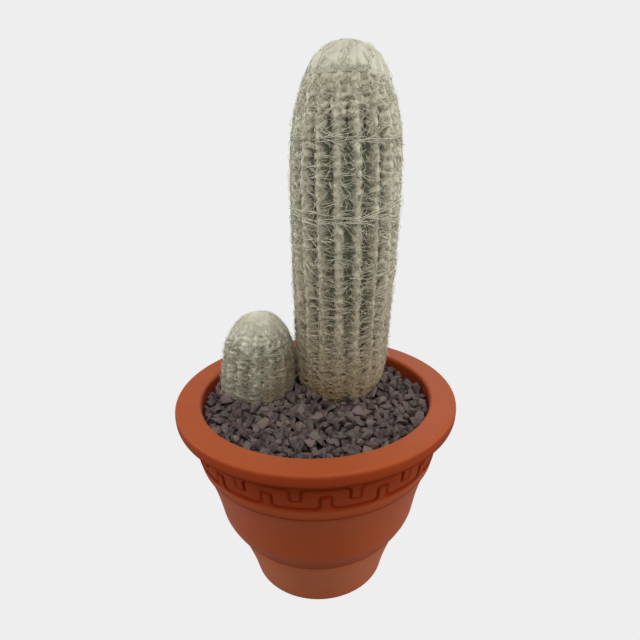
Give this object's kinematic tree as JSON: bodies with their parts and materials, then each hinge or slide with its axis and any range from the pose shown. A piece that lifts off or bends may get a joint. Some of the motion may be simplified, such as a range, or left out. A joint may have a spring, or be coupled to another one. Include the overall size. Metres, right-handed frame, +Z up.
{
  "type": "potted espostoa",
  "caption": "Woolly ribbed columnar cactus with a small offset at its foot, in a round key-pattern pot topped with stone chippings.",
  "frame": {"origin": "centre of the pot's base, on the surface that it stands on", "axes": "+Z up along the pot's axis, +X from the offset's side of the pot to the column's side, -Y towards the open stretch of chippings at the front"},
  "size_m": [0.2, 0.2, 0.3802],
  "materials": {
    "terracotta": "satin",
    "potting_mix": "matte",
    "chippings": "matte",
    "flesh": "matte",
    "wool": "matte"
  },
  "bodies": {
    "root": {"pot": "terracotta", "potting_mix": "potting_mix", "gravel": "chippings", "column_stem": "flesh", "column_wool": "wool", "offset_stem": "flesh", "offset_wool": "wool"}
  },
  "joints": []
}
